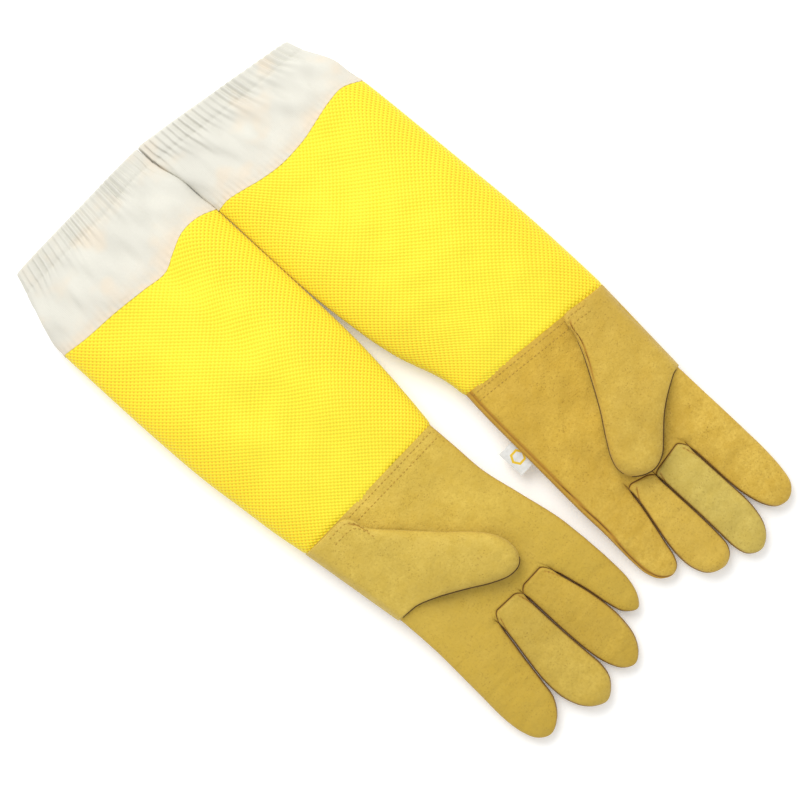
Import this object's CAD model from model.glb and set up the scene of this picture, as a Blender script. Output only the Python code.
"""A pair of ventilated beekeeping gloves: leather hands, mesh sleeves and gathered cotton cuffs."""
import math

import bpy
import numpy as np
from mathutils import Matrix, Vector
from mathutils.bvhtree import BVHTree


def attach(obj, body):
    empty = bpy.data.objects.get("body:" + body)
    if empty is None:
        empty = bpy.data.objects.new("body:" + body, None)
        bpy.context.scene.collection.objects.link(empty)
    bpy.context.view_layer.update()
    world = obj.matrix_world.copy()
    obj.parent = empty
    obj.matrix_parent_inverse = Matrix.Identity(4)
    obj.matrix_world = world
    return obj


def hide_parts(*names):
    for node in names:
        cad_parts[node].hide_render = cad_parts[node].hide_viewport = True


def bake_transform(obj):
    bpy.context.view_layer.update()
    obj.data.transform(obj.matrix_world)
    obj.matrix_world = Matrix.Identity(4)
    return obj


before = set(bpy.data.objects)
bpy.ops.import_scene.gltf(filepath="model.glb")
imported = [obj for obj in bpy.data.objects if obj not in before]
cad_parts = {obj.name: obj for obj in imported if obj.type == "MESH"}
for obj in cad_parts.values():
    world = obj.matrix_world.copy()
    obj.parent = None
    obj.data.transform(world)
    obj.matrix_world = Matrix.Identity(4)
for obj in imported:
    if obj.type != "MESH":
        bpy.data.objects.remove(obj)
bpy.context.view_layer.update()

MM = 0.001
FINGERS = ("index", "middle", "ring", "little")

# ---- sizes, in millimetres, in each glove's own frame: x to the fingertips, t to the thumb side ----
WRIST_H, PALM_H, KNUCKLE_H, TIP_H = 23.0, 21.5, 17.0, 13.5
LEATHER_T, COTTON_T, OUTER_T, LINING_T, SPACER_T = 1.2, 0.7, 0.9, 0.6, 2.4
SLIT_GAP = 0.6            # daylight between two fingers that lie side by side
THUMB_T = 10.5            # thickness of the folded thumb
THUMB_CLEAR = 1.2         # room between the thumb and the palm's leather
UNDER_SHARE = 0.13        # of the thumb's thickness below its edge
MESH_LEN, SLEEVE_LEN, TUNNEL_W = 220.0, 289.0, 14.0
CUFF_SHOWN = SLEEVE_LEN - MESH_LEN
SLEEVE_H, SEAM_H, HEM_H = 30.0, 26.0, 17.0
GIRTH = 292.0             # round the mesh
HOLE_PITCH = 3.5          # of the mesh's staggered holes
PALM_LEN = 126.0          # from the wrist seam to the finger roots
STRIP_COLS = 26           # columns of a finger's front or back
SIDE_SEAM = 0.48          # height of the side seam over the hand's height
STRIP_TOP, STRIP_LOW = 0.62, 0.36   # a finger's side strip lies between these shares of its height
THUMB_SOFT = 14.0         # width of leather that rolls over when the thumb opens
CURL_Z, ROLL_Z = 8, 12     # heights of the lines where the leather starts and stops bending
CURVE_STEPS = 20          # points of a smooth curve between two given ones
ABOVE_FLOOR = 0.02        # the lowest that leather or cotton lies

STITCH = (2.3, 0.75, 0.7)  # length, width and height of one stitch
STITCH_RINGS, STITCH_SIDES = 7, 8
SEAM_ROWS, THUMB_ROWS = (4, 10), (3.6, 9.4)   # rows of stitches, inside the wrist seam

# ---- flat sizes of the sheets, in metres ----
PANEL_FLAT, THUMB_FLAT, MESH_FLAT = (0.132, 0.145), (0.128, 0.056), (0.292, 0.220)
CUFF_FLAT, ELASTIC_FLAT, LABEL_FLAT = (0.300, 0.086), (0.250, 0.010), (0.022, 0.016)
FINGER_SPARE = 1.15       # a finger's leather, over its lying width
STRIP_W, STRIP_SHARE = 0.010, 0.5   # a side strip tapers to both its ends, so it is half its rectangle

LEFT = dict(
    name="left", side=1, origin=(41.25, 91.5), splay=1.5,
    thumb_edge=[(7.3, 59.5), (25, 55.5), (69, 53.2), (100, 52.5), (131, 52)],
    little_edge=[(-12.5, -65), (7, -66.9), (58, -69.6), (107, -72.2), (121, -72.4)],
    crotches=[(131, 15.2), (127, -16), (119.5, -36.5)],
    base_seams={"middle": (122.5, 125.5), "ring": (124, 116.5)},
    fingers={
        "index": ([(151, 51.6), (172, 51), (191, 49), (202, 46), (207.5, 41)], (210, 34),
                  [(150, 15.2), (171, 15.4), (184, 16.5), (198, 19.8), (207, 25.5)]),
        "middle": ([(150, 15.2), (171, 15.2), (192, 14.6), (207, 11), (215, 5.5)], (219.6, -3),
                   [(150, -16), (171, -16), (188.5, -16.4), (204, -16.6), (213, -14.5), (218, -9.5)]),
        "ring": ([(150, -16), (171, -16.2), (188.5, -17), (199.5, -18.6), (205.5, -23)], (208.2, -31),
                 [(133, -38.7), (149.6, -42.8), (165, -46.5), (177, -48.4), (191, -48), (203, -42.5)]),
        "little": ([(133, -38.7), (149.6, -42.8), (166, -47.3), (176, -50), (182.5, -54)], (184.5, -61),
                   [(132, -72.8), (156.7, -74.2), (170, -73.6), (179.6, -69.5)]),
    },
    thumb=([(7.3, 59), (4, 40), (1.6, 24), (6, 21), (14.7, 19.5), (29.8, 13.2), (46.9, 3.4), (66.2, -8.6),
            (84.3, -21.8), (95, -28.6), (104, -31.4)], (112.5, -29.6),
           [(86.9, 52.9), (87.2, 47), (89.3, 41.6), (95.8, 28.5), (102.7, 18), (112.9, 6), (119.6, -2.6),
            (122.4, -12.7), (119.5, -22)]),
    sleeve=[(-2, 60, -65), (30, 60.5, -67), (70, 60.5, -78), (140, 57.5, -85.3), (206, 54.4, -85.2),
            (220, 53.2, -84.9), (251, 47.5, -86.4), (272, 39, -88.5), (289, 35.5, -90.1)],
    mesh_seam=[(-218, 53), (-225, 39), (-225, 26), (-222, 6), (-220, -7), (-220, -30), (-224, -49),
               (-228, -61), (-232, -75), (-232, -84)],
    wrist_line=(-2.7, 0.160), hem_line=(-284.8, 0.22),
    rolled_seam=4.0, seed=11)

RIGHT = dict(
    name="right", side=-1, origin=(27.75, -70.5), splay=-1.5,
    thumb_edge=[(0, 64), (14, 62), (33, 58), (52.5, 54), (66.5, 51.6), (82, 50.4), (114, 48.3), (133, 48.1)],
    little_edge=[(-3, -64.5), (20, -66.3), (47, -68.4), (77, -75.4), (109, -82.9), (133, -85.8)],
    crotches=[(133, 1.5), (130, -25.8), (133, -52.5)],
    base_seams={"middle": (124.8, 125.6), "ring": (125.6, 124.8)},
    fingers={
        "index": ([(160, 48.2), (186.5, 48), (202, 45.2), (211, 40.5)], (215.8, 31.5),
                  [(148, 3.6), (163, 6), (185, 9), (199, 11.6), (210.5, 20)]),
        "middle": ([(148, 3.2), (163, 5.4), (185, 8), (203, 7), (217, 1.5), (224.5, -6)], (227.3, -15),
                   [(146, -26.2), (170, -27.2), (192.4, -28.8), (207, -29.6), (218, -26.5)]),
        "ring": ([(146, -26.4), (170, -27.4), (192.4, -29.4), (208, -32.8), (218.5, -38.5)], (222.8, -47),
                 [(148, -56.6), (162, -60.2), (178, -62.8), (192, -63.4), (208, -61), (218, -55)]),
        "little": ([(148, -56.6), (162, -60.2), (178, -63.3), (190, -67.5)], (196, -76.5),
                   [(156, -87.3), (177, -87), (189.4, -83.2)]),
    },
    thumb=([(0, 64), (0.4, 45), (0.9, 28), (5, 23.6), (16.4, 20.2), (32.7, 6.1), (54.6, -13.8), (75.8, -34.6),
            (86.9, -42.1), (97, -45)], (106.5, -43.6),
           [(80.5, 50.6), (80.8, 42), (81.6, 33.6), (87.5, 19), (97.4, 1), (108, -16.5), (113, -29),
            (112.3, -38)]),
    sleeve=[(0, 64.5, -64.5), (26, 69.5, -67), (57, 74, -69.2), (89, 78.5, -70), (140, 82.5, -68.6),
            (200, 85.5, -66), (223, 86.3, -65), (239, 84.6, -63), (255, 80.6, -60.5), (278, 72, -56),
            (289, 69, -54.5)],
    mesh_seam=[(-223, 86.3), (-220, 67.4), (-218, 39.7), (-215, 12.9), (-213, -7.3), (-219, -20.7),
               (-225, -35.7), (-225, -50.6), (-220, -65)],
    wrist_line=(-1.5, 0.023), hem_line=(-289, 0.02),
    rolled_seam=0.0, seed=23)


# ---- numbers and curves ----

def mix(a, b, f):
    return a + (b - a) * f


def ease(f):
    f = np.clip(f, 0, 1)
    return f * f * (3 - 2 * f)


def bump(x, width):
    return np.exp(-(x / width) ** 2)


def smooth_curve(points):
    """A centripetal Catmull-Rom curve through the points."""
    p = np.asarray(points, float)
    p = np.vstack([2 * p[0] - p[1], p, 2 * p[-1] - p[-2]])
    out = []
    for a, b, c, d in zip(p, p[1:], p[2:], p[3:]):
        k = np.cumsum([0] + [np.linalg.norm(v) ** 0.5 for v in (b - a, c - b, d - c)])
        x = np.linspace(k[1], k[2], CURVE_STEPS, endpoint=False)[:, None]
        legs = zip((a, b, c), (b, c, d), k, k[1:])
        ab, bc, cd = (mix(q, r, (x - low) / (high - low)) for q, r, low, high in legs)
        abc, bcd = mix(ab, bc, (x - k[0]) / (k[2] - k[0])), mix(bc, cd, (x - k[1]) / (k[3] - k[1]))
        out.append(mix(abc, bcd, (x - k[1]) / (k[2] - k[1])))
    return np.vstack(out + [p[-2:-1]])


def lengths(curve):
    return np.concatenate([[0], np.cumsum(np.linalg.norm(np.diff(curve, axis=0), axis=1))])


def along(curve, fractions):
    """Points at these fractions of the curve's length."""
    run = lengths(curve)
    return np.stack([np.interp(np.asarray(fractions) * run[-1], run, c) for c in curve.T], axis=1)


def graded(length, fine, coarse, reach, ends=(True, True), count=None):
    """Fractions from 0 to 1 whose steps grow from fine, near the chosen ends, to coarse."""
    x = np.linspace(0, length, 3000)
    near = np.maximum(ends[0] * np.exp(-x / reach), ends[1] * np.exp(-(length - x) / reach))
    run = np.concatenate([[0], np.cumsum(1 / (coarse - (coarse - fine) * near[1:]))])
    count = count or int(round(run[-1] * (x[1] - x[0])))
    return np.interp(np.linspace(0, run[-1], count + 1), run, x) / length


def dome(s, p):
    """A rounded arch over s from -1 to 1, flatter as p grows."""
    return (1 - np.minimum(np.abs(s), 1) ** p) ** (1 / p)


def ripple(x, y, wave, seed):
    """Smooth irregular waves of about that length, between about -1 and 1."""
    count = 14
    rng = np.random.default_rng(seed)
    total = np.zeros(np.broadcast(x, y).shape)
    for _ in range(count):
        turn, phase = rng.uniform(0, 2 * math.pi), rng.uniform(0, 2 * math.pi)
        size = wave * rng.uniform(0.75, 1.5)
        total = total + np.sin((x * math.cos(turn) + y * math.sin(turn)) * 2 * math.pi / size + phase)
    return total / math.sqrt(count / 2) / 1.6


def normals_of(points, wrap=False):
    """Unit normals of a grid of points."""
    def slope(axis, around):
        if around:
            return np.roll(points, -1, axis) - np.roll(points, 1, axis)
        return np.gradient(points, axis=axis)
    n = np.cross(slope(0, False), slope(1, wrap))
    return n / np.maximum(np.linalg.norm(n, axis=-1, keepdims=True), 1e-9)


# ---- making meshes ----

def place(glove, points):
    """Points of a glove's own frame, in mm, as metres in the row frame."""
    p = np.asarray(points, float)
    turn, y = math.radians(glove["splay"]), p[..., 1] * glove["side"]
    x0, y0 = glove["origin"]
    return np.stack([x0 + p[..., 0] * math.cos(turn) - y * math.sin(turn),
                     y0 + p[..., 0] * math.sin(turn) + y * math.cos(turn), p[..., 2]], axis=-1) * MM


def grid_faces(rows, cols, wrap, start=0):
    """Quads of a grid, as (rows, cols) index pairs; wrap joins the last column to the first."""
    i, j = np.meshgrid(np.arange(rows - 1), np.arange(cols if wrap else cols - 1), indexing="ij")
    corners = [(i, j), (i, j + 1), (i + 1, j + 1), (i + 1, j)]
    quads = np.stack([start + a * cols + b % cols for a, b in corners], axis=-1).reshape(-1, 4)
    places = np.stack([np.stack([a, b], axis=-1) for a, b in corners], axis=-2).reshape(-1, 4, 2)
    return quads, places


def rim_faces(rows, cols, wrap, inside):
    """Quads that join the outer and inner layers along a shell's open edges."""
    quads = []
    edges = [[(0, j + 1, 0, j) for j in range(cols if wrap else cols - 1)],
             [(rows - 1, j, rows - 1, j + 1) for j in range(cols if wrap else cols - 1)]]
    if not wrap:
        edges += [[(i, 0, i + 1, 0) for i in range(rows - 1)],
                  [(i + 1, cols - 1, i, cols - 1) for i in range(rows - 1)]]
    for a, b, c, d in sum(edges, []):
        p, q = a * cols + b % cols, c * cols + d % cols
        quads.append((p, q, inside + q, inside + p))
    return np.array(quads)


def link_object(name, data):
    obj = bpy.data.objects.new(name, data)
    bpy.context.scene.collection.objects.link(obj)
    return obj


def smooth_mesh(name, verts, faces, material):
    mesh = bpy.data.meshes.new(name)
    mesh.from_pydata(verts, [], faces)
    mesh.polygons.foreach_set("use_smooth", np.ones(len(faces), bool))
    mesh.materials.append(material)
    return mesh


def new_mesh(name, verts, quads, material, uv=None, tint=None, flip=False):
    """A smooth mesh object from arrays; verts are in metres, uv is given for each corner."""
    order = slice(None, None, -1) if flip else slice(None)
    mesh = smooth_mesh(name, verts.tolist(), quads[:, order].tolist(), material)
    if uv is not None:
        layer = mesh.uv_layers.new(name="Weave")
        layer.data.foreach_set("uv", uv[:, order].astype(np.float32).ravel())
    if tint is not None:
        layer = mesh.attributes.new("tint", "FLOAT", "POINT")
        layer.data.foreach_set("value", tint.astype(np.float32).ravel())
    mesh.update()
    mesh.set_sharp_from_angle(angle=math.radians(70))
    return link_object(name, mesh)


def declare(piece, node, slot, **sheet):
    """Says which CAD node a piece stands for, its material slot and what sheet it is."""
    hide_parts(node)


def shell(glove, name, points, thick, material, wrap=False, uv=None, tint=None, inner=None, out=1):
    """A thin closed shell over a grid of points; out is -1 where row x column points into the body."""
    rows, cols = points.shape[:2]
    n = normals_of(points, wrap) * out
    if inner is None:
        inner = points - n * (thick[..., None] if isinstance(thick, np.ndarray) else thick)
    verts = np.concatenate([points.reshape(-1, 3), inner.reshape(-1, 3)])
    count = rows * cols
    front, places = grid_faces(rows, cols, wrap)
    if out > 0:
        front, places = front[:, ::-1], places[:, ::-1]
    back = front[:, ::-1] + count
    rim = rim_faces(rows, cols, wrap, count)
    quads = np.concatenate([front, back, rim if out < 0 else rim[:, ::-1]])
    corner_uv = None
    if uv is not None:
        face_uv = uv[places[..., 0], places[..., 1]]
        rim_uv = np.zeros((len(rim), 4, 2))
        corner_uv = np.concatenate([face_uv, face_uv[:, ::-1], rim_uv])
    if tint is not None:
        tint = np.concatenate([tint.ravel(), tint.ravel()])
    return new_mesh(name, place(glove, verts), quads, material, corner_uv, tint, flip=glove["side"] < 0)


# ---- the leather hand ----

def outline_sides(near, tip, far):
    """The two long sides of a finger or thumb, each from its root to its tip, and their mean length."""
    curve = smooth_curve(near + [tip] + far[::-1])
    split = len(near) * CURVE_STEPS
    side_a, side_b = curve[:split + 1], curve[split:][::-1]
    return side_a, side_b, (lengths(side_a)[-1] + lengths(side_b)[-1]) / 2


def strip_plan(glove, k):
    """Finger strip k from the wrist to its tip, seen from above: (x, t) of every row and column."""
    thumb_edge, little_edge = smooth_curve(glove["thumb_edge"]), smooth_curve(glove["little_edge"])
    roots = [glove["thumb_edge"][-1]] + glove["crotches"] + [glove["little_edge"][-1]]
    across = np.array([0] + [(roots[0][1] - c[1]) / (roots[0][1] - roots[4][1]) for c in roots[1:4]] + [1])
    starts = mix(thumb_edge[0], little_edge[0], across[:, None])
    borders = [thumb_edge] + [np.array([starts[i], roots[i]], float) for i in (1, 2, 3)] + [little_edge]
    palm_f = graded(PALM_LEN, 0.32, 1.7, 7, (False, True))
    left_p, right_p = along(borders[k], palm_f), along(borders[k + 1], palm_f)
    near, tip, far = glove["fingers"][FINGERS[k]]
    side_a, side_b, finger_len = outline_sides([roots[k]] + near, tip, [roots[k + 1]] + far)
    finger_f = graded(finger_len, 0.32, 1.5, 7) * (1 - 0.3 / finger_len)
    left_f, right_f = along(side_a, finger_f), along(side_b, finger_f)
    opening = SLIT_GAP / 2 * ease(finger_f * finger_len / 9) * (1 - 0.6 * finger_f)
    if k > 0:
        left_f[:, 1] -= opening
    if k < 3:
        right_f[:, 1] += opening
    left, right = np.vstack([left_p, left_f[1:]]), np.vstack([right_p, right_f[1:]])
    return left, right, len(palm_f) - 1, finger_len


def strip_columns(k, distance):
    """Column places from 0 to 1 at every row: fine at a finger's sides, even inside the palm."""
    finger = graded(30, 0.35, 1.8, 4, (True, True), STRIP_COLS)
    palm = graded(30, 0.25, 1.8, 4, (k == 0, k == 3), STRIP_COLS)
    weight = ease(1 + distance / 45)[:, None]
    return mix(palm, finger, weight)


def build_strip(glove, k):
    """All the points of finger strip k: its palm-side and back-side grids, and what they share."""
    left, right, root_row, finger_len = strip_plan(glove, k)
    middle_line = (left + right) / 2
    run = lengths(middle_line)
    distance = run - run[root_row]                    # negative in the palm, positive in the finger
    q = strip_columns(k, distance)
    xy = mix(left[:, None], right[:, None], q[..., None])
    width = np.linalg.norm(right - left, axis=1)[:, None]
    name = FINGERS[k]
    if name in glove["base_seams"]:
        ends, corner = glove["base_seams"][name], 6.0
        straight = mix(ends[0], ends[1], q)
        pull = [np.clip(1 - d * width[root_row] / corner, 0, 1) ** 2 for d in (q, 1 - q)]
        roots = [glove["crotches"][k - 1], glove["crotches"][k]]
        target = straight + sum(p * (r[0] - e) for p, r, e in zip(pull, roots, ends))
        bow = target - mix(left[root_row, 0], right[root_row, 0], q)
        xy[..., 0] += bow * bump(distance, 22)[:, None]
    return dict(k=k, xy=xy, q=q, s=2 * q - 1, left=left, right=right, width=width, root_row=root_row,
                distance=distance[:, None], finger_len=finger_len, from_root=run[:, None] - run[root_row])


def hand_height(x):
    """Height of the lying hand at distance x from the wrist seam."""
    f = np.clip(x / PALM_LEN, 0, 1)
    return np.where(f < 0.5, mix(WRIST_H, PALM_H, ease(f * 2)), mix(PALM_H, KNUCKLE_H, ease(f * 2 - 1)))


def palm_profile(glove, x, t, grow=1.0):
    """Height of the palm side at (x, t), and the share of the half width that t is from the middle."""
    edges = [smooth_curve(glove[e]) for e in ("thumb_edge", "little_edge")]
    near, far = (np.interp(x, e[:, 0], e[:, 1]) for e in edges)
    share = np.clip((t - (near + far) / 2) / ((near - far) / 2) * grow, -1, 1)
    height = hand_height(x)
    seam = SIDE_SEAM * height
    return seam + (height - seam) * dome(share, 4.5), share


def strip_form(glove, strip):
    """Plain heights of strip k's two sides, and how round, how much finger and how near the tip it is."""
    k, q, d, width = strip["k"], strip["q"], strip["distance"], strip["width"]
    x, t = strip["xy"][..., 0], strip["xy"][..., 1]
    palm_top, share = palm_profile(glove, x, t)
    root_h = float(hand_height(np.array(PALM_LEN)))
    reach = np.clip(d / strip["finger_len"], 0, 1)
    height = np.where(d < 0, hand_height(x), mix(root_h, TIP_H, ease(reach)))
    full = width[strip["root_row"] + 25] * 0.94
    tip = np.where(d < 20, 1, np.minimum(1, width / full) ** 0.62)      # 1, falling to 0 at the fingertip
    outer = (k == 0, k == 3)                                           # sides that are the hand's own edge
    tops = [SIDE_SEAM if edge else STRIP_TOP for edge in outer]
    lows = [SIDE_SEAM if edge else STRIP_LOW for edge in outer]
    rounds = [mix(4.2, 2.7, ease(d / 45)) if edge else 2.7 for edge in outer]
    edge_top, edge_low = height * mix(*tops, q), height * mix(*lows, q)
    arch = dome(strip["s"], mix(*rounds, q))
    finger_top = edge_top + (height - edge_top) * arch
    finger_low = edge_low * (1 - dome(strip["s"], 3.4))
    quick, slow = ease(1 + d / 8), ease(1 + d / 34)
    weight = np.broadcast_to(quick, q.shape)
    if outer[0]:
        weight = mix(slow, quick, ease(q * 1.6))
    if outer[1]:
        weight = mix(quick, slow, ease(q * 1.6 - 0.6))
    palm_low = SIDE_SEAM * hand_height(x) * (1 - dome(share, 6))
    top, low = mix(palm_top, finger_top, weight), mix(palm_low, finger_low, weight)
    calm = np.where(d < 0, np.sqrt(np.maximum(1 - share ** 6, 0)), 1) * mix(1, arch, weight)
    return top, low, arch, calm, tip, SIDE_SEAM * height


def lift_strip(glove, strip):
    """Adds the heights of strip k's palm side and back side, with seams, wrinkles and creases."""
    k, xy, q, d, seed = strip["k"], strip["xy"], strip["q"], strip["distance"], glove["seed"]
    x, t = xy[..., 0], xy[..., 1]
    top, low, arch, calm, tip, seam = strip_form(glove, strip)
    top = top + calm * (0.75 * ripple(x, t, 46, seed) + 0.28 * ripple(x, t, 15, seed + 1)
                        + 0.10 * ripple(x, t, 6, seed + 2))
    low = np.maximum(low + calm * 0.25 * (1 + ripple(x, t, 22, seed + 3)), ABOVE_FLOOR)
    for crease, depth in ((0.36, 0.5), (0.68, 0.4)):
        bent = d - crease * strip["finger_len"] - 3 * strip["s"] ** 2 - 1.2 * ripple(x, t, 30, seed + 5)
        top = top - depth * bump(bent, 2.6) * arch * (d > 0)
    if FINGERS[k] in glove["base_seams"]:
        across = strip["from_root"]
        top = top + 0.45 * bump(np.abs(across) - 2.4, 1.6) * calm - 1.0 * bump(across, 0.7) * ease(arch * 1.6)
    strip["tabs"] = tab_lines(k, d, q * strip["width"], (1 - q) * strip["width"])
    top = top - 0.9 * strip["tabs"] * calm
    top, low = (tip * (side - seam) + seam for side in (top, low))
    strip.update(top=np.dstack([xy, top]), low=np.dstack([xy, low]), tip=tip)
    pinch_sides(strip)
    return strip


def tab_lines(k, d, from_a, from_b):
    """1 along the short creases where a middle or ring finger's side strips start, else 0."""
    lines = np.zeros(np.broadcast(d, from_a).shape)
    sides = {1: ((from_a, 4.0, 3.0), (from_b, 3.5, 1.0)), 2: ((from_b, 6.0, 3.0),)}.get(k, ())
    for inside, reach, start in sides:
        along_it = np.clip((d - start) / 9, 0, 1)
        line = bump(inside - reach * (1 - along_it), 0.55) * ease((d - start) / 2) * (along_it < 1)
        lines = np.maximum(lines, line)
    return lines


def pinch_sides(strip):
    """Draws the finger's edges in a little, so that its seams lie in a groove."""
    q, k, width = strip["q"], strip["k"], strip["width"]
    inward = (strip["right"] - strip["left"])[:, None, :]
    inward = inward / np.maximum(np.linalg.norm(inward, axis=-1, keepdims=True), 1e-6)
    at_edge = 0.55 * ease(strip["tip"])
    in_slit = 0.55 * ease(strip["distance"] / 6) * ease(strip["tip"])
    pull = (at_edge if k == 0 else in_slit) * bump(q * width, 0.6)
    pull = pull - (at_edge if k == 3 else in_slit) * bump((1 - q) * width, 0.6)
    for grid in ("top", "low"):
        strip[grid][..., :2] += inward * pull[..., None]


def side_strip(strip, far_side):
    """The fourchette between the front's and the back's edges on one side of a finger."""
    column, r = (-1 if far_side else 0), strip["root_row"]
    upper, lower = strip["top"][r:, column], strip["low"][r:, column]
    across = (strip["right"] - strip["left"])[r:]
    across = across / np.linalg.norm(across, axis=1, keepdims=True) * (1 if far_side else -1)
    q = np.linspace(0, 1, 9)
    puff = 0.8 * ease(strip["distance"][r:, 0] / 5) * mix(0.3, 1, strip["tip"][r:, 0])
    grid = mix(upper[:, None], lower[:, None], q[:, None])
    grid[..., :2] += across[:, None] * (puff[:, None] * np.sin(math.pi * q) ** 0.6)[..., None]
    return grid


def roll_edge(glove, strip):
    """Where the back leather rolls up over the little side: a seam line, and 1 outside it in the tint."""
    in_from_edge = (1 - strip["q"]) * strip["width"]
    inset = glove["rolled_seam"]
    if not inset or strip["k"] != 3:
        return np.zeros_like(strip["q"])
    inset = mix(inset, 0.6 * inset, ease(strip["distance"] / 30))
    line = bump(in_from_edge - inset, 0.8)
    strip["top"][..., 2] -= 1.2 * line * strip["tip"]
    return np.maximum((in_from_edge < inset) * 0.5, 1.9 * line)


def build_hand(glove, paint):
    """The palm, the back and every finger's front, back and side strips."""
    g = glove["name"]
    strips = [lift_strip(glove, build_strip(glove, k)) for k in range(4)]
    wear = [edge_wear(strip, roll_edge(glove, strip)) for strip in strips]
    root = strips[0]["root_row"]

    def joined(grids):
        return np.concatenate([grid[:root + 1, min(k, 1):] for k, grid in enumerate(grids)], axis=1)

    palm = shell(glove, f"{g}_palm_leather", joined([s["top"] for s in strips]), LEATHER_T,
                 paint["palm"], tint=joined(wear), out=-1)
    back = shell(glove, f"{g}_back_leather", joined([s["low"] for s in strips]), LEATHER_T,
                 paint["back"], tint=joined([w * 0 for w in wear]))
    for piece, part in ((palm, "palm"), (back, "back")):
        declare(piece, f"{g}_{part}_panel", f"goatskin_{part}", flat=PANEL_FLAT, held="stretched",
                rests_on=[f"{g}_mesh_outer"])
        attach(piece, f"{g}_hand")
    for strip, worn in zip(strips, wear):
        build_finger(glove, paint, strip, worn[root:])
    return palm, back


def edge_wear(strip, tint):
    """0 on plain leather, up to 1 on a rolled edge, and a little along seams and the wrist edge."""
    width, d, k, q = strip["width"], strip["distance"], strip["k"], strip["q"]
    sides = [bump(side * width, 0.9) * (1 if outer else ease(d / 6))
             for side, outer in ((q, k == 0), (1 - q, k == 3))]
    seam = 2.2 * bump(strip["from_root"], 0.55)
    seam = seam * (FINGERS[k] in ("middle", "ring")) * ease(np.minimum(q, 1 - q) * width)
    seam = np.maximum(seam, 1.8 * strip["tabs"])
    return np.maximum(np.maximum(tint, seam), 0.7 * np.maximum(*sides))


def build_finger(glove, paint, strip, worn):
    """A finger's front, back and side strips, which bend together at its root."""
    g, k, root = glove["name"], strip["k"], strip["root_row"]
    finger = f"{g}_{FINGERS[k]}"
    tone = paint[("palm", "middle", "finger", "palm")[k]]
    thick = LEATHER_T * mix(0.35, 1, strip["tip"][root:]) * np.ones_like(strip["q"][root:])
    length = strip["finger_len"] * MM
    flat = (length, float(strip["width"][root + 20, 0]) * MM * FINGER_SPARE)
    top, low = strip["top"][root:], strip["low"][root:]
    made = [("front_leather", top, thick, tone, -1, "front", "goatskin_palm", flat, None),
            ("back_leather", low, thick, paint["back"], 1, "back", "goatskin_back", flat, None)]
    for far_side, word, exists in ((False, "thumb_side", k > 0), (True, "little_side", k < 3)):
        if exists:
            made.append((f"{word}_strip", side_strip(strip, far_side), 0.8, paint["strip"],
                         -1 if far_side else 1, f"fourchette_{word}", "goatskin_strip", (length, STRIP_W),
                         STRIP_SHARE * length * STRIP_W))
    for name, grid, t, material, out, node, slot, size, area in made:
        tint = worn if node == "front" else np.zeros(grid.shape[:2])
        piece = shell(glove, f"{finger}_{name}", grid, t, material, tint=tint, out=out)
        declare(piece, f"{finger}_{node}", slot, flat=size, held="stretched", area=area)
        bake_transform(piece)


# ---- the folded wing thumb ----

def thumb_plan(glove):
    """The thumb seen from above: its places, and how far each is along, across and inside it."""
    side_a, side_b, length = outline_sides(*glove["thumb"])
    f = graded(length, 0.45, 1.5, 5) * (1 - 0.35 / length)
    left, right = along(side_a, f), along(side_b, f)
    q = graded(50, 0.3, 1.9, 5, count=44)
    width = np.linalg.norm(right - left, axis=1)[:, None]
    return dict(left=left, right=right, xy=mix(left[:, None], right[:, None], q[:, None]), q=q, f=f[:, None],
                width=width, length=length, inside=f[:, None] * length, end=np.minimum(1, width / 29) ** 0.6)


def thumb_fold(glove, plan):
    """1 along the crease beside the thumb's wrist-side edge, else 0."""
    f, from_edge = plan["f"], plan["q"] * plan["width"]
    fold = bump(from_edge - mix(5.5, 2.0, ease((f - 0.25) / 0.3)), 0.8) * ease((f - 0.2) / 0.05)
    fold = fold * ease((0.62 - f) / 0.2)
    return fold if glove["rolled_seam"] else fold * ease((0.34 - f) / 0.06)


def thumb_heights(glove, plan, fold):
    """Heights of the thumb's top, of its underside and of the edge between them."""
    f, s, inside, length = plan["f"], 2 * plan["q"] - 1, plan["inside"], plan["length"]
    x, t = plan["xy"][..., 0], plan["xy"][..., 1]
    palm_z, _ = palm_profile(glove, x, t, grow=0.985)
    rest_z = mix(palm_z + THUMB_CLEAR, np.maximum(palm_z, PALM_H) + THUMB_CLEAR + 0.6, ease(f / 0.5))
    thick = mix(2.6, THUMB_T, ease(f / 0.5)) * plan["end"]
    edge = rest_z + UNDER_SHARE * thick
    arch = dome(s, mix(7.0, 2.5, ease(f / 0.55)))
    seed = glove["seed"] + 40
    waves = 0.5 * ripple(x, t, 38, seed) + 0.2 * ripple(x, t, 13, seed + 1)
    top = edge + (1 - UNDER_SHARE) * thick * arch + arch * ease(inside / 10) * waves
    top = top - 0.45 * bump(inside - 0.8 * length - 3 * s ** 2, 3) * arch
    top = top - 1.3 * fold
    seam_z = SIDE_SEAM * hand_height(x) + 0.4
    top = seam_z + (top - seam_z) * np.sqrt(1 - (1 - np.minimum(inside / 6, 1)) ** 2)
    return top, edge - UNDER_SHARE * thick * dome(s, 3), edge


def thumb_roll(glove, plan):
    """Where the leather starts and stops rolling over when the thumb opens."""
    left, right = plan["left"][0], plan["right"][0]
    inward = np.array([right[1] - left[1], left[0] - right[0]])
    inward = inward / np.linalg.norm(inward)
    return [place(glove, [*((left + right) / 2 + inward * reach), ROLL_Z]) for reach in (0, THUMB_SOFT)]


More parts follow.
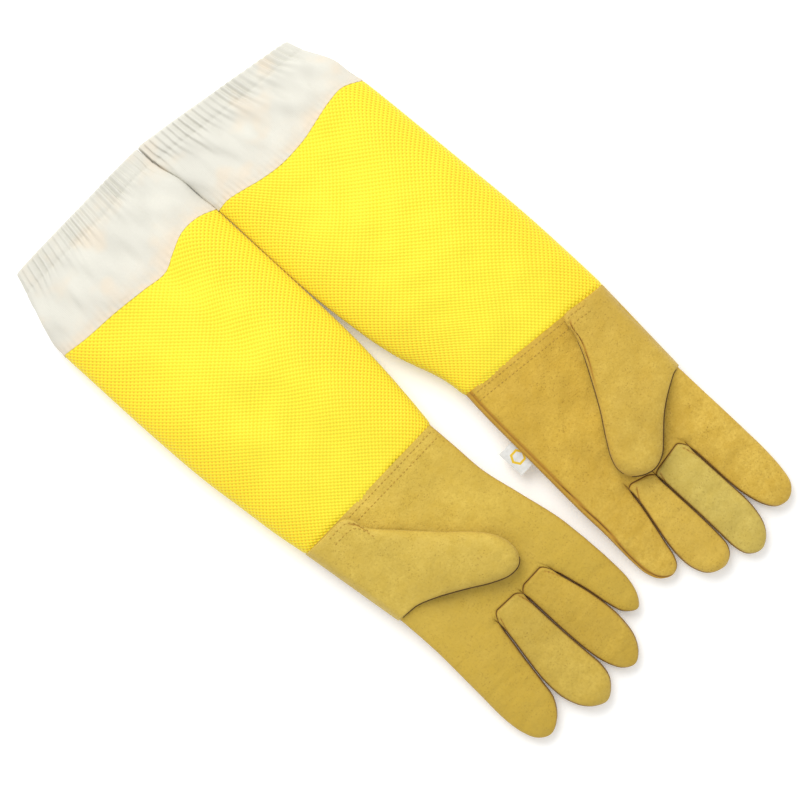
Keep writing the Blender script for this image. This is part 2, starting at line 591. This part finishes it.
def build_thumb(glove, paint):
    """The thumb's front and back, and the dark welts under its edges; they all roll over together."""
    g, plan = glove["name"], thumb_plan(glove)
    xy, f, inside = plan["xy"], plan["f"], plan["inside"]
    fold = thumb_fold(glove, plan)
    top, low, edge = thumb_heights(glove, plan, fold)
    top_xy = xy + np.array([0, 0.8]) * np.clip(1 - inside / 8, 0, 1)[..., None]
    first = int(np.searchsorted(inside[:, 0], 7.0))        # the back starts past the base seam
    at_wrist = wrist_distance(glove, xy[..., 0], xy[..., 1]) < 4.2
    wear = np.maximum(0.1 * at_wrist * (f < 0.5), 1.8 * fold)
    thick = mix(0.4, 1, plan["end"]) * np.ones_like(top)
    front = shell(glove, f"{g}_thumb_front_leather", np.dstack([top_xy, top]), thick,
                  paint["thumb"], tint=wear)
    back = shell(glove, f"{g}_thumb_back_leather", np.dstack([xy, low])[first:], thick[first:],
                 paint["palm"], out=-1)
    seat = np.dstack([xy, edge])
    lines = {"finger_side": seat[6:-4, -1] + np.array([0.3, -0.15, -0.9])}
    if glove["rolled_seam"]:
        lines["wrist_side"] = seat[int(len(seat) * 0.36):-4, 0] + np.array([0.15, 0.0, -0.9])
    roll = thumb_roll(glove, plan)
    for piece, node in ((front, "thumb_front"), (back, "thumb_back")):
        declare(piece, f"{g}_{node}", "goatskin_thumb", flat=THUMB_FLAT, held="folded",
                rests_on=[f"{g}_palm_leather"])
        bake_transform(piece)
    for side, line in lines.items():
        welt = build_welt(glove, paint, line, side)
        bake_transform(welt)
    return front, roll


def tube_faces(rows, cols):
    """The quads round a tube of rings, and its two end faces."""
    quads, _ = grid_faces(rows, cols, True)
    ends = [range(cols)[::-1], range((rows - 1) * cols, rows * cols)]
    return [tuple(int(i) for i in face) for face in [*quads, *ends]]


def build_welt(glove, paint, line, side_name):
    """The dark seam allowance under one edge of the thumb, as a thin closed cord of leather."""
    radius, sides = 0.75, 10
    line[:, 2] = np.maximum(line[:, 2], 0.5)
    ahead = np.gradient(line, axis=0)
    ahead /= np.linalg.norm(ahead, axis=1, keepdims=True)
    side = np.cross(ahead, [0, 0, 1.0])
    side /= np.linalg.norm(side, axis=1, keepdims=True)
    up = np.cross(side, ahead)
    taper = radius * np.sin(np.linspace(0.12, math.pi - 0.12, len(line))) ** 0.4
    turns = np.linspace(0, 2 * math.pi, sides, endpoint=False)
    ring = side[:, None] * np.cos(turns)[:, None] + up[:, None] * np.sin(turns)[:, None]
    verts = place(glove, (line[:, None] + taper[:, None, None] * ring).reshape(-1, 3))
    faces = [face[::-glove["side"]] for face in tube_faces(len(line), sides)]
    name = f"{glove['name']}_thumb_seam_{side_name}"
    return link_object(name, smooth_mesh(name, verts.tolist(), faces, paint["seam"]))


def wrist_distance(glove, x, t):
    """How far (x, t) is from the wrist seam, towards the fingertips."""
    at_middle, slant = glove["wrist_line"]
    return x - at_middle - slant * t


# ---- sleeve ----

def sleeve_sides(glove):
    """The sleeve's thumb-side and little-side outlines, as curves of (x, t)."""
    rows = sorted((-d, a, b) for d, a, b in glove["sleeve"])
    return [smooth_curve([(r[0], r[c]) for r in rows]) for c in (1, 2)]


def sleeve_height(x):
    """Height of the lying sleeve at distance -x from the wrist seam."""
    d = -x
    body = mix(WRIST_H, SLEEVE_H, np.sin(np.clip(d / (MESH_LEN * 0.5), 0, 1) * math.pi / 2))
    full = mix(body, SEAM_H, ease((d - 120) / 100))
    return np.where(d < MESH_LEN, full, mix(SEAM_H, HEM_H, ease((d - MESH_LEN) / CUFF_SHOWN)))


def seam_x(glove, t, upper):
    """Where the wavy seam between mesh and cotton lies; the underside has a straighter one."""
    points = smooth_curve(sorted((t, x) for x, t in glove["mesh_seam"]))
    wavy = np.interp(t, points[:, 0], points[:, 1])
    return np.where(upper, wavy, mix(-MESH_LEN, wavy, 0.35))


def sleeve_ring(glove, x_from_shape, inset_at, cols, dense=960):
    """One ring of the sleeve, evenly spaced along its girth, thumb side first and then over the top."""
    a = np.linspace(0, 2 * math.pi, dense + 1)
    above = np.sin(a) >= 0
    x = np.full(dense + 1, x_from_shape(0.0, True))
    for _ in range(2):
        near, far = (np.interp(x, e[:, 0], e[:, 1]) for e in glove["sleeve_sides"])
        middle, half = (near + far) / 2, (near - far) / 2
        p = mix(4.4, 2.4, ease(-x / 60))              # boxy at the wrist, rounder up the sleeve
        share = np.sign(np.cos(a)) * np.abs(np.cos(a)) ** (2 / p)
        t = middle + half * share
        x = x_from_shape(t, above)
    rise = np.abs(np.sin(a)) ** (2 / p)
    height = sleeve_height(x)
    centre = 0.45 * height
    girth = lengths(np.stack([t, centre + np.where(above, height - centre, centre) * rise], axis=1))
    inset = inset_at(girth / girth[-1])
    t = middle + (half - inset) * share
    soft = ripple(x, t, 62, glove["seed"] + 60) * 1.3 + ripple(x, t, 24, glove["seed"] + 61) * 0.35
    up = centre + (height - centre - inset) * rise + soft * rise ** 3 * ease(-x / 30)
    down = np.maximum(centre - (centre - inset) * rise, 0.03 + np.minimum(inset, 3))
    ring = np.stack([x, t, np.where(above, up, down)], axis=1)
    return along(ring, np.linspace(0, 1, cols + 1))[:-1]


def sleeve_tube(glove, fractions, inset, cols, start=2.0, past_seam=1.5):
    """Rings from just under the leather at the wrist to just past the mesh seam."""
    at_middle, slant = glove["wrist_line"]
    rings = []
    for f in fractions:
        def line(t, upper, f=f):
            return mix(at_middle + slant * t + start, seam_x(glove, t, upper) - past_seam, f)
        tucked = 0.8 * ease((f - 0.988) / 0.012) + 1.0 * ease((0.022 - f) / 0.022)
        rings.append(sleeve_ring(glove, line, lambda c, w=tucked: inset + w, cols))
    return np.array(rings)


def outer_mesh(glove, paint):
    """The outer mesh, two points a hole each way; every other point stands in, so the holes are staggered."""
    hole_depth, yarn_rise, near_floor = 0.42, 0.05, 1.0
    cols, rows = 2 * round(GIRTH / HOLE_PITCH), 2 * round(MESH_LEN / HOLE_PITCH)
    outer = sleeve_tube(glove, np.linspace(0, 1, rows + 1), 0, cols)
    i, j = np.meshgrid(np.arange(rows + 1), np.arange(cols), indexing="ij")
    holes, n, free = (-1.0) ** (i + j), normals_of(outer, True), i < rows - 1     # not under the cotton
    clear = np.clip(outer[..., 2] / near_floor, 0, 1) * free
    depth = (hole_depth * np.maximum(holes, 0) - yarn_rise * np.maximum(-holes, 0)) * clear
    uv = np.stack(np.meshgrid(np.arange(cols + 1) / 2, np.arange(rows + 1) / 2), axis=-1)
    edge = np.abs(np.cos(2 * math.pi * j / cols)) ** 3 * free
    return shell(glove, f"{glove['name']}_outer_mesh", outer - n * depth[..., None], OUTER_T,
                 paint["mesh"], True, uv, edge, outer - n * OUTER_T)


def build_mesh_sleeve(glove, paint):
    """The three layers of the sleeve's mesh."""
    g = glove["name"]
    pieces = [outer_mesh(glove, paint)]
    for name, inset, thick, rows, cols in (("spacer", OUTER_T + 0.4, SPACER_T - 0.3, 60, 120),
                                           ("lining", OUTER_T + SPACER_T + 0.5, LINING_T, 70, 140)):
        tube, deep = (sleeve_tube(glove, np.linspace(0, 1, rows + 1), at, cols, start=0.5, past_seam=0.5)
                      for at in (inset, inset + thick))
        uv = np.stack(np.meshgrid(np.arange(cols + 1) * GIRTH / HOLE_PITCH / cols,
                                  np.arange(rows + 1) * MESH_LEN / HOLE_PITCH / rows), axis=-1)
        pieces.append(shell(glove, f"{g}_{name}_mesh", tube, thick, paint[name], True, uv, None, deep))
    for piece, node in zip(pieces, ("mesh_outer", "mesh_spacer", "mesh_lining")):
        declare(piece, f"{g}_{node}", node, flat=MESH_FLAT, held="laid")
        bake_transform(piece)


# ---- cotton cuff ----

def ruche(c, count, seed):
    """Small uneven gathers round the girth, at places c from 0 to 1."""
    turn = 2 * math.pi * c
    drift = sum(w * np.sin(turn * k + seed * 1.7 + k) for k, w in ((2, 0.9), (5, 0.6), (11, 0.35)))
    strength = 0.75 + 0.25 * np.sin(turn * 7 + seed)
    wave = np.sin(turn * count + drift)
    return strength * np.sign(wave) * np.abs(wave) ** 0.8


def cuff_gathers(glove, c, to_hem, to_seam):
    """How far the cotton stands in (positive) or out at places c round a ring."""
    seed = glove["seed"]
    hem = 1.3 * ruche(c, 50, seed) * math.exp(-max(to_hem - TUNNEL_W, 0) / 6)
    tunnel_line = 0.5 * math.exp(-((to_hem - TUNNEL_W) / 1.2) ** 2)
    ticks = 0.4 * ruche(c, 66, seed + 3) * math.exp(-to_seam / 6)
    around = 2 * math.pi * c
    lean = to_hem * 0.012
    body = math.sin(math.pi * np.clip((to_hem - 6) / 58, 0, 1)) ** 0.8 if 6 < to_hem < 64 else 0.0
    folds = sum(w * np.sin(around * k + p + lean * q) for k, w, p, q in (
        (7, 1.0, seed, 10), (11, 0.8, seed * 2, -12), (17, 0.5, seed * 3, 7), (29, 0.22, seed * 4, -5)))
    spread = sum(w * np.sin(around * k + p) for k, w, p in ((17, 0.8, seed + 1), (29, 0.6, seed + 2)))
    return hem + tunnel_line + ticks + body * folds * 1.05 + spread * 0.55 * math.exp(-abs(to_hem - 24) / 14)


def cuff_ring(glove, f, inset, reach, cols, dense=960):
    """A ring of cotton or elastic at share f of the way from the mesh seam to the hem."""
    hem_at, slant = glove["hem_line"]
    to_hem, to_seam = (1 - f) * CUFF_SHOWN, f * CUFF_SHOWN

    def line(t, upper):
        return mix(seam_x(glove, t, upper), hem_at + slant * t, f) - reach

    def inset_at(c):
        over_seam = 0.25 * (to_seam < 2)
        return inset - over_seam + cuff_gathers(glove, c, to_hem, to_seam)
    return sleeve_ring(glove, line, inset_at, cols, dense)


def build_cuff(glove, paint):
    """The cotton, from the mesh seam to the hem and back inside it, and the elastic in the fold."""
    g, turned_in = glove["name"], 2.6
    turns = np.linspace(0, math.pi, 7)[1:-1]
    path = [(f, 0.0, 0.0) for f in np.linspace(0, 1, 60)]
    path += [(1.0, turned_in / 2 * (1 - math.cos(a)), turned_in / 2 * math.sin(a)) for a in turns]
    path += [(f, turned_in, 0.0) for f in np.linspace(1, 1 - TUNNEL_W / CUFF_SHOWN, 10)]
    grid = np.array([cuff_ring(glove, *step, 416, 1664) for step in path])
    from_seam = np.array([f * CUFF_SHOWN for f, _, _ in path])[:, None]
    near_seam = np.exp(-from_seam / 7.0) * np.ones_like(grid[..., 0])
    grid[..., 2] = np.maximum(grid[..., 2], ABOVE_FLOOR)
    cuff = shell(glove, f"{g}_cotton_sleeve_end", grid, COTTON_T, paint["cotton"], True, tint=near_seam)
    band = [1 - to_hem / CUFF_SHOWN for to_hem in np.linspace(12, 2.5, 9)]
    layers = [np.array([cuff_ring(glove, f, depth, 0.0, 260) for f in band]) for depth in (1.0, 1.6)]
    elastic = shell(glove, f"{g}_elastic_band", layers[0], 0.6, paint["elastic"], True, inner=layers[1])
    for piece, node, flat, slot in ((cuff, "cotton_cuff", CUFF_FLAT, "cotton"),
                                    (elastic, "hem_elastic", ELASTIC_FLAT, "elastic")):
        declare(piece, f"{g}_{node}", slot, flat=flat, held="gathered", rests_on=[f"{g}_outer_mesh"])
        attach(piece, f"{g}_sleeve")


# ---- stitches and label ----

def capsule(centre, ahead, up):
    """The points of one raised stitch: a rounded bar that dips at both ends."""
    length, width, height = (size * MM for size in STITCH)
    side = np.cross(up, ahead)
    verts = []
    for i in range(STITCH_RINGS):
        lean = math.pi * (i + 0.35) / (STITCH_RINGS - 0.3)
        at, radius = -math.cos(lean), math.sin(lean) ** 0.7
        for j in range(STITCH_SIDES):
            turn = 2 * math.pi * j / STITCH_SIDES
            sideways = radius * width / 2 * math.cos(turn)
            rise = radius * height / 2 * math.sin(turn) - abs(at) ** 3 * height * 0.6
            verts.append(centre + ahead * at * length / 2 + side * sideways + up * rise)
    return verts


def stitch_row(tree, glove, path, up):
    """Stitches along a path of (x, t) points, each laid on the surface that the tree holds."""
    pitch, lift = 3.3, 0.00012
    curve = smooth_curve(path)
    count = int(lengths(curve)[-1] / pitch)
    spots = place(glove, np.column_stack([along(curve, (np.arange(count) + 0.5) / count), np.zeros(count)]))
    start = Vector((0, 0, 0.08 * up))
    made = []
    for i, spot in enumerate(spots):
        ahead = spots[min(i + 1, count - 1)] - spots[max(i - 1, 0)]
        hit, normal, _, _ = tree.ray_cast(Vector(spot) + start, Vector((0, 0, -up)))
        if hit is None:
            continue
        normal = np.array(normal) * (1 if normal.z * up > 0 else -1)
        ahead = ahead / np.linalg.norm(ahead)
        ahead = ahead - normal * ahead.dot(normal)
        made.append(capsule(np.array(hit) + normal * lift, ahead / np.linalg.norm(ahead), normal))
    return made


def stitch_piece(name, rows, material):
    """All the stitches of one piece, as one mesh."""
    verts, faces = [], []
    for points in sum(rows, []):
        at = len(verts)
        verts += points
        faces += [tuple(at + i for i in face) for face in tube_faces(STITCH_RINGS, STITCH_SIDES)]
    return link_object(name, smooth_mesh(name, [tuple(v) for v in verts], faces, material))


def wrist_path(glove, inward, t_from, t_to):
    """A line inward mm inside the wrist seam between two places across the hand."""
    at_middle, slant = glove["wrist_line"]
    return [(at_middle + slant * t + inward, t) for t in np.linspace(t_from, t_to, 9)]


def build_stitches(glove, paint, surfaces):
    """Two rows of stitches along the wrist seam, on the palm, the back and the thumb."""
    g = glove["name"]
    little, edge = glove["little_edge"][0][1] + 3, glove["thumb_edge"][0][1] - 3
    wing = [(x, t) for x, t in glove["thumb"][0] if 18 < t < edge]
    across = [wrist_path(glove, d, edge, little) for d in SEAM_ROWS]
    wing_rows = [[(x + d, t) for x, t in wing] for d in THUMB_ROWS]
    groups = (("palm", 1, across), ("back", -1, across), ("thumb", 1, wing_rows))
    for (name, up, paths), surface in zip(groups, surfaces):
        tree = BVHTree.FromObject(surface, bpy.context.evaluated_depsgraph_get())
        rows = [stitch_row(tree, glove, path, up) for path in paths]
        piece = stitch_piece(f"{g}_{name}_stitches", rows, paint["thread"])
        if name == "thumb":
            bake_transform(piece)
        else:
            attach(piece, f"{g}_hand")


def build_label(glove, paint):
    """A small blank cloth label with a plain hexagon, sewn into the left glove's little-side seam."""
    x0, t0, thick = 34.0, -64.5, 0.8
    size_x, size_t = (side / MM for side in LABEL_FLAT)
    i, j = np.meshgrid(np.linspace(0, 1, 21), np.linspace(0, 1, 17), indexing="ij")
    x = x0 + i * size_x + 0.25 * np.sin(j * 3)
    t = t0 - j * size_t
    z = 11.2 + 1.1 * np.sin(j * 2.2) - 2.2 * j ** 2 + 0.5 * np.sin(i * 5 + 1) * j
    label = shell(glove, "left_label_cloth", np.dstack([x, t, z]), thick, paint["label"],
                  uv=np.dstack([i, j]), out=-1)
    declare(label, "left_side_label", "label", flat=LABEL_FLAT, held="hung")
    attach(label, "left_hand")


# ---- materials ----

class Paint:
    """A procedural material: a Principled shader, and short ways to add nodes to it."""

    def __init__(self, name, roughness=0.7, sheen=0.0):
        self.material = bpy.data.materials.new(name)
        self.material.use_nodes = True
        self.tree = self.material.node_tree
        self.shader = self.tree.nodes["Principled BSDF"]
        self.shader.inputs["Roughness"].default_value = roughness
        self.shader.inputs["Sheen Weight"].default_value = sheen
        self.shader.inputs["Sheen Roughness"].default_value = 0.5
        self.shader.inputs["Specular IOR Level"].default_value = 0.3
        self.where = self.node("ShaderNodeTexCoord").outputs["Object"]

    def node(self, kind, **values):
        made = self.tree.nodes.new(kind)
        for key, value in values.items():
            setattr(made, key, value)
        return made

    def link(self, source, socket):
        self.tree.links.new(source, socket)

    def split(self, vector):
        """The x, y and z of a vector."""
        made = self.node("ShaderNodeSeparateXYZ")
        self.link(vector, made.inputs["Vector"])
        return made.outputs

    def weave(self):
        """Places along and across a cloth, one unit for each hole or for the whole label."""
        return self.split(self.node("ShaderNodeUVMap", uv_map="Weave").outputs["UV"])[:2]

    def noise(self, size_mm, detail=2.0, seed=0.0, rough=0.5):
        """Noise whose features are about size_mm wide."""
        noise = self.node("ShaderNodeTexNoise", noise_dimensions="4D")
        noise.inputs["Scale"].default_value = 1000 / size_mm
        noise.inputs["Detail"].default_value = detail
        noise.inputs["Roughness"].default_value = rough
        noise.inputs["W"].default_value = seed
        self.link(self.where, noise.inputs["Vector"])
        return noise.outputs["Fac"]

    def attribute(self, name):
        return self.node("ShaderNodeAttribute", attribute_name=name).outputs["Fac"]

    def ramp(self, value, low, high, to_low=0.0, to_high=1.0):
        made = self.node("ShaderNodeMapRange", interpolation_type="SMOOTHSTEP")
        for key, number in (("From Min", low), ("From Max", high), ("To Min", to_low), ("To Max", to_high)):
            made.inputs[key].default_value = number
        self.link(value, made.inputs["Value"])
        return made.outputs["Result"]

    def math(self, operation, a, b=0.0):
        made = self.node("ShaderNodeMath", operation=operation)
        for socket, value in zip(made.inputs, (a, b)):
            if isinstance(value, (int, float)):
                socket.default_value = value
            else:
                self.link(value, socket)
        return made.outputs[0]

    def blend(self, share, a, b):
        """Colour a to colour b by share; a and b are sRGB triples or sockets."""
        made = self.node("ShaderNodeMix", data_type="RGBA")
        if isinstance(share, float):
            made.inputs["Factor"].default_value = share
        else:
            self.link(share, made.inputs["Factor"])
        for socket, value in ((made.inputs[6], a), (made.inputs[7], b)):
            if isinstance(value, tuple):
                socket.default_value = linear(value)
            else:
                self.link(value, socket)
        return made.outputs[2]

    def finish(self, colour, bumps=(), roughness=None):
        """Joins the colour, the roughness and the bumps, each (height, depth in mm), to the shader."""
        self.link(colour, self.shader.inputs["Base Color"])
        if roughness is not None:
            self.link(roughness, self.shader.inputs["Roughness"])
        normal = None
        for height, depth in bumps:
            bump_node = self.node("ShaderNodeBump")
            bump_node.inputs["Distance"].default_value = depth * MM
            self.link(height, bump_node.inputs["Height"])
            if normal is not None:
                self.link(normal, bump_node.inputs["Normal"])
            normal = bump_node.outputs["Normal"]
        if normal is not None:
            self.link(normal, self.shader.inputs["Normal"])
        return self.material


def linear(rgb):
    """An sRGB colour of 0 to 255 as linear light."""
    part = [c / 255 for c in rgb]
    return tuple(c / 12.92 if c < 0.04045 else ((c + 0.055) / 1.055) ** 2.4 for c in part) + (1.0,)


def shade(rgb, level, parts=(1, 1, 1)):
    """The colour times level, and times a part of its own for red, green and blue."""
    return tuple(c * part * level for c, part in zip(rgb, parts))


def leather(name, rgb, far_rgb, seed=0.0):
    """Soft goatskin: cloudy tone, dark pits, fine grain and worn edges; far_rgb is at the fingertips."""
    p = Paint(name, sheen=0.08)
    cloud = p.ramp(p.noise(30, 4, seed, 0.6), 0.36, 0.64)
    patch = p.ramp(p.noise(9, 4, seed + 4, 0.6), 0.38, 0.66)
    nap = p.ramp(p.noise(2.2, 5, seed + 6, 0.75), 0.36, 0.64)
    drift = p.ramp(p.noise(16, 3, seed + 12), 0.44, 0.6)
    pit = p.ramp(p.noise(1.25, 2, seed + 9, 0.6), 0.57, 0.68)
    pits = p.math("MULTIPLY", pit, p.math("ADD", p.math("MULTIPLY", drift, 0.55), 0.12))
    colour = p.blend(p.ramp(p.split(p.where)[0], 0.07, 0.19), rgb, far_rgb)
    colour = p.blend(0.62, colour, p.blend(cloud, shade(rgb, 0.9, (1, 0.98, 0.9)), colour))
    tint = p.attribute("tint")
    for share, level, parts in ((p.math("MULTIPLY", patch, 0.4), 0.93, (1, 0.97, 0.84)),
                                (p.math("MULTIPLY", nap, 0.6), 0.9, (1, 0.98, 0.86)),
                                (pits, 0.84, (0.94, 0.87, 0.7)),
                                (p.ramp(tint, 0, 1), 0.9, (0.95, 0.84, 0.7)),      # worn edges
                                (p.ramp(tint, 1, 2), 0.5, (0.9, 0.78, 0.6))):      # dark creases and seams
        colour = p.blend(share, colour, shade(rgb, level, parts))
    crease = p.node("ShaderNodeTexVoronoi", feature="SMOOTH_F1")
    crease.inputs["Scale"].default_value = 1000 / 1.6
    p.link(p.where, crease.inputs["Vector"])
    bumps = [(p.noise(5, 3, seed + 30), 0.6), (crease.outputs["Distance"], 0.15), (pit, -0.12),
             (p.noise(0.55, 3, seed + 20, 0.6), 0.12)]
    return p.finish(colour, bumps, p.ramp(patch, 0, 1, 0.62, 0.76))


def mesh_cloth(name, rgb, hole, depth):
    """Spacer mesh: staggered round holes, deeper in colour, from the weave's own coordinates."""
    p = Paint(name, roughness=0.55, sheen=0.2)
    waves = [p.math("COSINE", p.math("MULTIPLY", place_on, 2 * math.pi)) for place_on in p.weave()]
    weave = p.math("MULTIPLY", *waves)
    holes = p.ramp(weave, 0.25, 0.8)
    near_edge = p.ramp(p.attribute("tint"), 0, 1, 0.42, 1.0)
    tone = p.blend(p.ramp(p.noise(26, 2, 3.0), 0.35, 0.65), shade(rgb, 0.985), rgb)
    at_side = p.math("MULTIPLY", p.attribute("tint"), 0.5)
    tone = p.blend(at_side, tone, shade(rgb, 0.98, (1, 0.96, 0.75)))
    colour = p.blend(p.math("MULTIPLY", p.math("MULTIPLY", holes, near_edge), depth), tone, hole)
    return p.finish(colour, [(weave, -0.25), (p.noise(0.5, 2, 5.0), 0.12)])


def cotton(name, rgb, near_seam_rgb):
    """Plain white cotton: a fine weave, faint cloudy tone, and a warm tint close to the yellow seam."""
    p = Paint(name, roughness=0.85, sheen=0.05)
    base = p.blend(p.ramp(p.noise(22, 3, 1.0), 0.35, 0.65), shade(rgb, 0.985), rgb)
    warm = p.math("MULTIPLY", p.attribute("tint"), p.ramp(p.noise(7, 2, 2.0), 0.3, 0.7, 0.35, 0.95))
    colour = p.blend(warm, base, near_seam_rgb)
    drift = p.math("MULTIPLY", p.ramp(p.noise(26, 2, 4.0), 0.5, 0.68), 0.4)
    colour = p.blend(drift, colour, near_seam_rgb)
    threads = []
    for direction in ("X", "Y"):
        wave = p.node("ShaderNodeTexWave", bands_direction=direction)
        wave.inputs["Scale"].default_value = 1000 / 0.6 / 6.28      # threads 0.6 mm apart
        wave.inputs["Distortion"].default_value = 1.2
        p.link(p.where, wave.inputs["Vector"])
        threads.append((wave.outputs["Fac"], 0.05))
    return p.finish(colour, threads + [(p.noise(2.4, 3, 7.0), 0.18)])


def plain_cloth(name, rgb, grain_mm=0.6):
    p = Paint(name, roughness=0.8, sheen=0.1)
    colour = p.blend(p.ramp(p.noise(9, 3, 2.0), 0.35, 0.65), shade(rgb, 0.94), rgb)
    return p.finish(colour, [(p.noise(grain_mm, 2, 3.0), 0.12)])


def label_cloth(name):
    """White woven label with a plain yellow hexagon."""
    p = Paint(name, roughness=0.7)
    a, b = (p.math("ABSOLUTE", p.math("MULTIPLY", p.math("SUBTRACT", at, 0.5), side / MM))
            for at, side in zip(p.weave(), LABEL_FLAT))
    slanted = p.math("ADD", p.math("MULTIPLY", a, 0.5), p.math("MULTIPLY", b, 0.866))
    size = p.math("MAXIMUM", a, slanted)
    ring = p.math("MULTIPLY", p.ramp(size, 3.4, 3.7), p.ramp(size, 5.4, 5.1))
    base = p.blend(p.ramp(p.noise(3, 2), 0.3, 0.7), (208, 208, 204), (220, 220, 216))
    return p.finish(p.blend(ring, base, (222, 186, 50)), [(p.noise(0.5, 2), 0.08)])


def glove_paint(g):
    """All of one glove's materials; the two hands are cut from slightly different skins."""
    left = g == "left"
    tones = dict(
        palm=((205, 169, 62), (215, 181, 77)) if left else ((210, 180, 76), (187, 154, 52)),
        back=((190, 156, 62),) * 2,
        finger=((210, 177, 75),) * 2 if left else ((200, 168, 66), (196, 164, 62)),
        middle=((204, 181, 90) if left else (201, 172, 74),) * 2,
        thumb=((203, 170, 69), (206, 176, 78)) if left else ((208, 180, 80), (208, 180, 84)),
        strip=((150, 116, 42),) * 2)
    seed = 3.0 if left else 8.0
    made = {part: leather(f"{g}_leather_{part}", *rgb, seed + i)
            for i, (part, rgb) in enumerate(tones.items())}
    made["mesh"] = mesh_cloth(f"{g}_mesh", (244, 226, 46), (232, 168, 10), 0.9)
    made["spacer"] = plain_cloth(f"{g}_spacer", (242, 214, 70))
    made["lining"] = mesh_cloth(f"{g}_lining", (242, 218, 74), (222, 162, 36), 0.9)
    made["cotton"] = cotton(f"{g}_cotton", (207, 205, 194), (219, 200, 174))
    made["elastic"] = plain_cloth(f"{g}_elastic", (220, 218, 210), 1.0)
    made["thread"] = plain_cloth(f"{g}_thread", (184, 148, 58), 0.4)
    made["seam"] = plain_cloth(f"{g}_seam", (92, 66, 24), 0.8)
    made["label"] = label_cloth(f"{g}_label")
    return made


# ---- set ----

def build_floor():
    """A plain sheet of pale paper, just under the gloves."""
    size, z = 6.0, -0.0006
    mesh = bpy.data.meshes.new("floor")
    corners = [(x * size, y * size, z) for x, y in ((-1, -1), (1, -1), (1, 1), (-1, 1))]
    mesh.from_pydata(corners, [], [(0, 1, 2, 3)])
    paper = Paint("paper", roughness=0.95)
    paper.shader.inputs["Emission Color"].default_value = (1, 1, 1, 1)
    paper.shader.inputs["Emission Strength"].default_value = 0.12
    mesh.materials.append(paper.finish(paper.blend(paper.noise(400), (249, 249, 248), (252, 252, 251))))
    return link_object("floor", mesh)


def build_light():
    """A white room and one large soft light; returns the light."""
    world = bpy.data.worlds.new("studio")
    bpy.context.scene.world = world
    world.use_nodes = True
    background = world.node_tree.nodes["Background"]
    background.inputs["Color"].default_value = (1, 1, 1, 1)
    background.inputs["Strength"].default_value = 0.82
    soft = bpy.data.lights.new("soft_box", "AREA")
    soft.shape, soft.size, soft.energy = "DISK", 1.6, 29.0
    lamp = link_object("soft_box", soft)
    lamp.location = (-1.3, 0.35, 1.5)
    lamp.rotation_euler = (Vector((0, 0, 0)) - lamp.location).to_track_quat("-Z", "Y").to_euler()
    return lamp


def build_camera():
    """Straight above the gloves, turned so that they point to the lower right."""
    data = bpy.data.cameras.new("camera")
    data.lens, data.sensor_width, distance = 150.0, 36.0, 2.4
    camera = link_object("camera", data)
    right, up = Vector((0.7254, 0.6884, 0)), Vector((-0.6884, 0.7254, 0))
    turn = Matrix((right, up, right.cross(up))).transposed()
    camera.matrix_world = Matrix.Translation((-0.0011, -0.0084, distance)) @ turn.to_4x4()
    return camera


def main():
    for glove in (LEFT, RIGHT):
        paint = glove_paint(glove["name"])
        glove["sleeve_sides"] = sleeve_sides(glove)
        palm, back = build_hand(glove, paint)
        thumb, roll = build_thumb(glove, paint)
        build_mesh_sleeve(glove, paint)
        build_cuff(glove, paint)
        build_stitches(glove, paint, (palm, back, thumb))
        if glove["name"] == "left":
            build_label(glove, paint)
    scene = bpy.context.scene
    scene.view_settings.view_transform = "Standard"
    scene.view_settings.look = "None"
    floor, lamp, scene.camera = build_floor(), build_light(), build_camera()


main()
